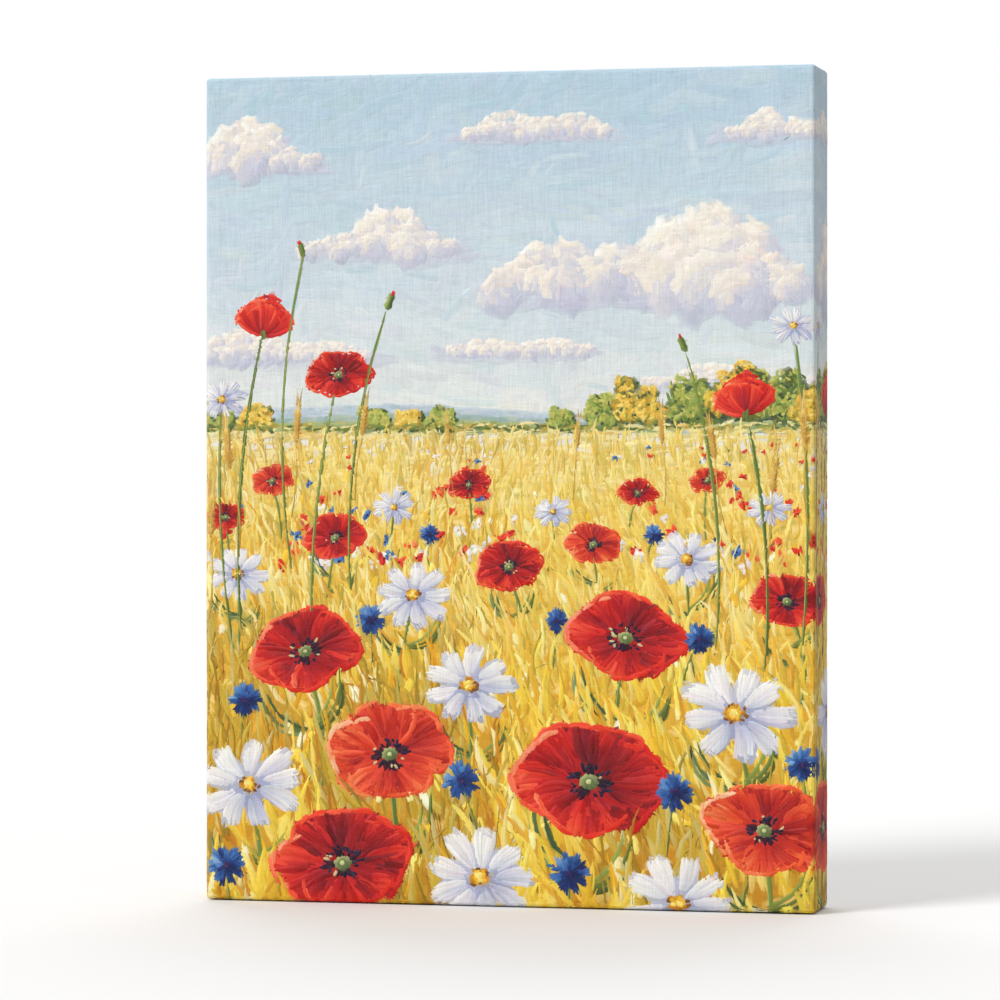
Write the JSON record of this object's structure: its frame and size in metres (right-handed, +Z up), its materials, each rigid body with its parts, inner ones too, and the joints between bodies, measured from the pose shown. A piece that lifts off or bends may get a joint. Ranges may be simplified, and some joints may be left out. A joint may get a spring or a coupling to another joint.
{
  "type": "stretched canvas print",
  "caption": "Gallery-wrapped stretched canvas wall print on deep mitred pine bars, with corner keys, a toothed steel hanger and round wall pads on its open back.",
  "frame": {"origin": "middle of the rear flat of the toothed hanger, in the plane of the wall", "axes": "+Z up, the picture faces -Y, the wall is on the +Y side, +X is to the right of someone who looks at the picture"},
  "size_m": [0.3048, 0.0404, 0.4064],
  "materials": {
    "printed_canvas": "matte printed cotton-polyester canvas with a plain weave",
    "pine": "planed raw pine",
    "key_wood": "sawn raw softwood",
    "zinc_steel": "bright zinc plate",
    "pad_rubber": "matte"
  },
  "bodies": {
    "root": {"canvas": "printed_canvas", "bar_bottom": "pine", "bar_top": "pine", "bar_left": "pine", "bar_right": "pine", "key_bottom_left_across": "key_wood", "key_bottom_left_upright": "key_wood", "key_bottom_right_across": "key_wood", "key_bottom_right_upright": "key_wood", "key_top_left_across": "key_wood", "key_top_left_upright": "key_wood", "key_top_right_across": "key_wood", "key_top_right_upright": "key_wood", "sawtooth_hanger": "zinc_steel", "hanger_nail_left": "zinc_steel", "hanger_nail_right": "zinc_steel", "wall_pad_left": "pad_rubber", "wall_pad_right": "pad_rubber"}
  },
  "joints": []
}
